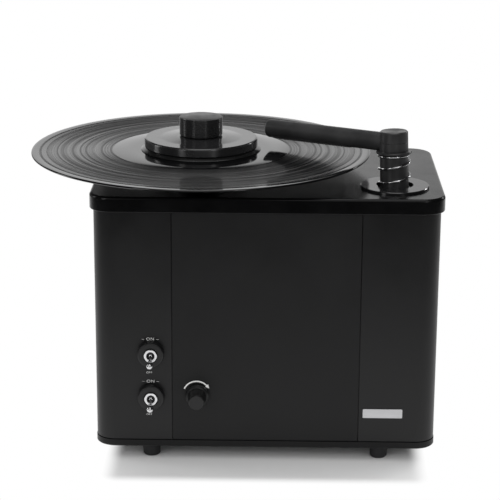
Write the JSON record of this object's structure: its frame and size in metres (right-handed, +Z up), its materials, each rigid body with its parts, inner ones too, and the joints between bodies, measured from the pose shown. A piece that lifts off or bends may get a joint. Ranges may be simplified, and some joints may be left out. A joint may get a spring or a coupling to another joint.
{
  "type": "record cleaning machine",
  "caption": "Vacuum record washer: boxed cabinet, overhanging platter with a clamped record, spring-lifted suction arm on a post, toggle switches and a speed knob.",
  "frame": {"origin": "on the table, under the centre of the overall footprint (record's left edge to top plate's right edge, record front to back)", "axes": "+Z up, -Y towards the user at the control panel, +X to the suction arm's side"},
  "size_m": [0.3622, 0.3016, 0.2876],
  "materials": {
    "plate_gloss": "polished black",
    "shell_satin": "satin black anodised extrusion",
    "panel_powder": "fine black powder coat",
    "base_black": "satin black",
    "black_rubber": "matt black",
    "seal_rubber": "moulded, glossy",
    "steel": "turned",
    "bright_chrome": "bright plated",
    "vinyl": "pressed vinyl",
    "platter_black": "black anodised",
    "mat_rubber": "matt",
    "clamp_black": "polished black",
    "knob_black": "black anodised, ringed",
    "brass": "turned",
    "arm_satin": "satin black anodised",
    "head_black": "turned, satin",
    "velvet": "black pile",
    "hose_black": "satin",
    "tank_white": "moulded",
    "plastic_black": "moulded",
    "control_black": "fine matt",
    "board_green": "solder mask",
    "winding": "taped winding",
    "motor_grey": "plated"
  },
  "bodies": {
    "machine": {"base_plate": "base_black", "base_gasket": "black_rubber", "feet": "black_rubber", "left_side_shell": "shell_satin", "right_side_shell": "shell_satin", "front_panel": "panel_powder", "rear_panel": "panel_powder", "top_plate": "plate_gloss", "bearing_housing": "motor_grey", "spindle_bearings": "steel", "motor_standoffs": "steel", "motor_bracket": "motor_grey", "gear_motor": "motor_grey", "arm_socket": "clamp_black", "riser_guide": "black_rubber", "socket_nut": "motor_grey", "suction_hose": "hose_black", "air_hose": "hose_black", "waste_tank": "tank_white", "tank_lid": "tank_white", "tank_pads": "black_rubber", "drain_pipe": "plastic_black", "vacuum_fan": "motor_grey", "fan_pad": "black_rubber", "transformer": "winding", "transformer_bolt": "steel", "control_board": "board_green", "power_inlet": "plastic_black", "inlet_pins": "steel", "switch_collars": "control_black", "switch_nuts": "bright_chrome", "switch_bodies": "plastic_black", "speed_pot": "motor_grey"},
    "platter": {"platter_hub": "platter_black", "platter": "platter_black", "platter_mat": "mat_rubber", "record": "vinyl", "spindle": "steel", "motor_coupling": "motor_grey", "motor_shaft": "steel"},
    "clamp": {"clamp_disc": "clamp_black", "clamp_seal": "seal_rubber", "clamp_retainer": "steel"},
    "clamp_grip": {"clamp_knob": "knob_black", "clamp_insert": "brass"},
    "arm_turn": {"spring_seat": "plastic_black", "arm_spring": "bright_chrome"},
    "arm": {"arm_tube": "arm_satin", "arm_end_cap": "head_black", "arm_pads": "velvet", "arm_head": "head_black", "arm_riser": "head_black", "riser_stop": "steel"},
    "platter_toggle": {"platter_lever": "bright_chrome"},
    "vacuum_toggle": {"vacuum_lever": "bright_chrome"},
    "speed_control": {"speed_knob": "control_black", "speed_shaft": "steel"},
    "drain_plug": {"drain_cap": "black_rubber"}
  },
  "joints": [
    {"name": "platter_spin", "type": "hinge", "parent": "machine", "child": "platter", "pos_m": [-0.0303, 0, 0.25], "axis": [0, 0, 1], "continuous": true},
    {"name": "clamp_lift", "type": "slide", "parent": "platter", "child": "clamp", "axis": [0, 0, 1], "range_m": [0, 0.015]},
    {"name": "clamp_knob_turn", "type": "hinge", "parent": "clamp", "child": "clamp_grip", "pos_m": [-0.0303, 0, 0.27], "axis": [0, 0, 1], "range_deg": [0, 3601]},
    {"name": "arm_swing", "type": "hinge", "parent": "machine", "child": "arm_turn", "pos_m": [0.13945, -0.061, 0.2268], "axis": [0, 0, 1], "range_deg": [-70, 0]},
    {"name": "arm_lift", "type": "slide", "parent": "arm_turn", "child": "arm", "axis": [-0.0337, 0.0249, 0.9991], "range_m": [-0.0061, 0], "stiffness_N_per_m": 250, "springref_m": 0.012, "deforming": ["arm_spring"]},
    {"name": "platter_switch", "type": "hinge", "parent": "machine", "child": "platter_toggle", "pos_m": [-0.06965, -0.1089, 0.0985], "axis": [-1, 0, 0], "range_deg": [0, 50]},
    {"name": "vacuum_switch", "type": "hinge", "parent": "machine", "child": "vacuum_toggle", "pos_m": [-0.06965, -0.1089, 0.0589], "axis": [-1, 0, 0], "range_deg": [0, 50]},
    {"name": "speed_knob_turn", "type": "hinge", "parent": "machine", "child": "speed_control", "pos_m": [-0.0297, -0.1025, 0.06], "axis": [0, 1, 0], "range_deg": [0, 270]},
    {"name": "drain_cap_pull", "type": "slide", "parent": "machine", "child": "drain_plug", "axis": [0, 1, 0], "range_m": [0, 0.03]}
  ],
  "couplings": [
    {"joint": "clamp_knob_turn", "follows": "clamp_lift", "rad_per_m": 4188.8}
  ]
}
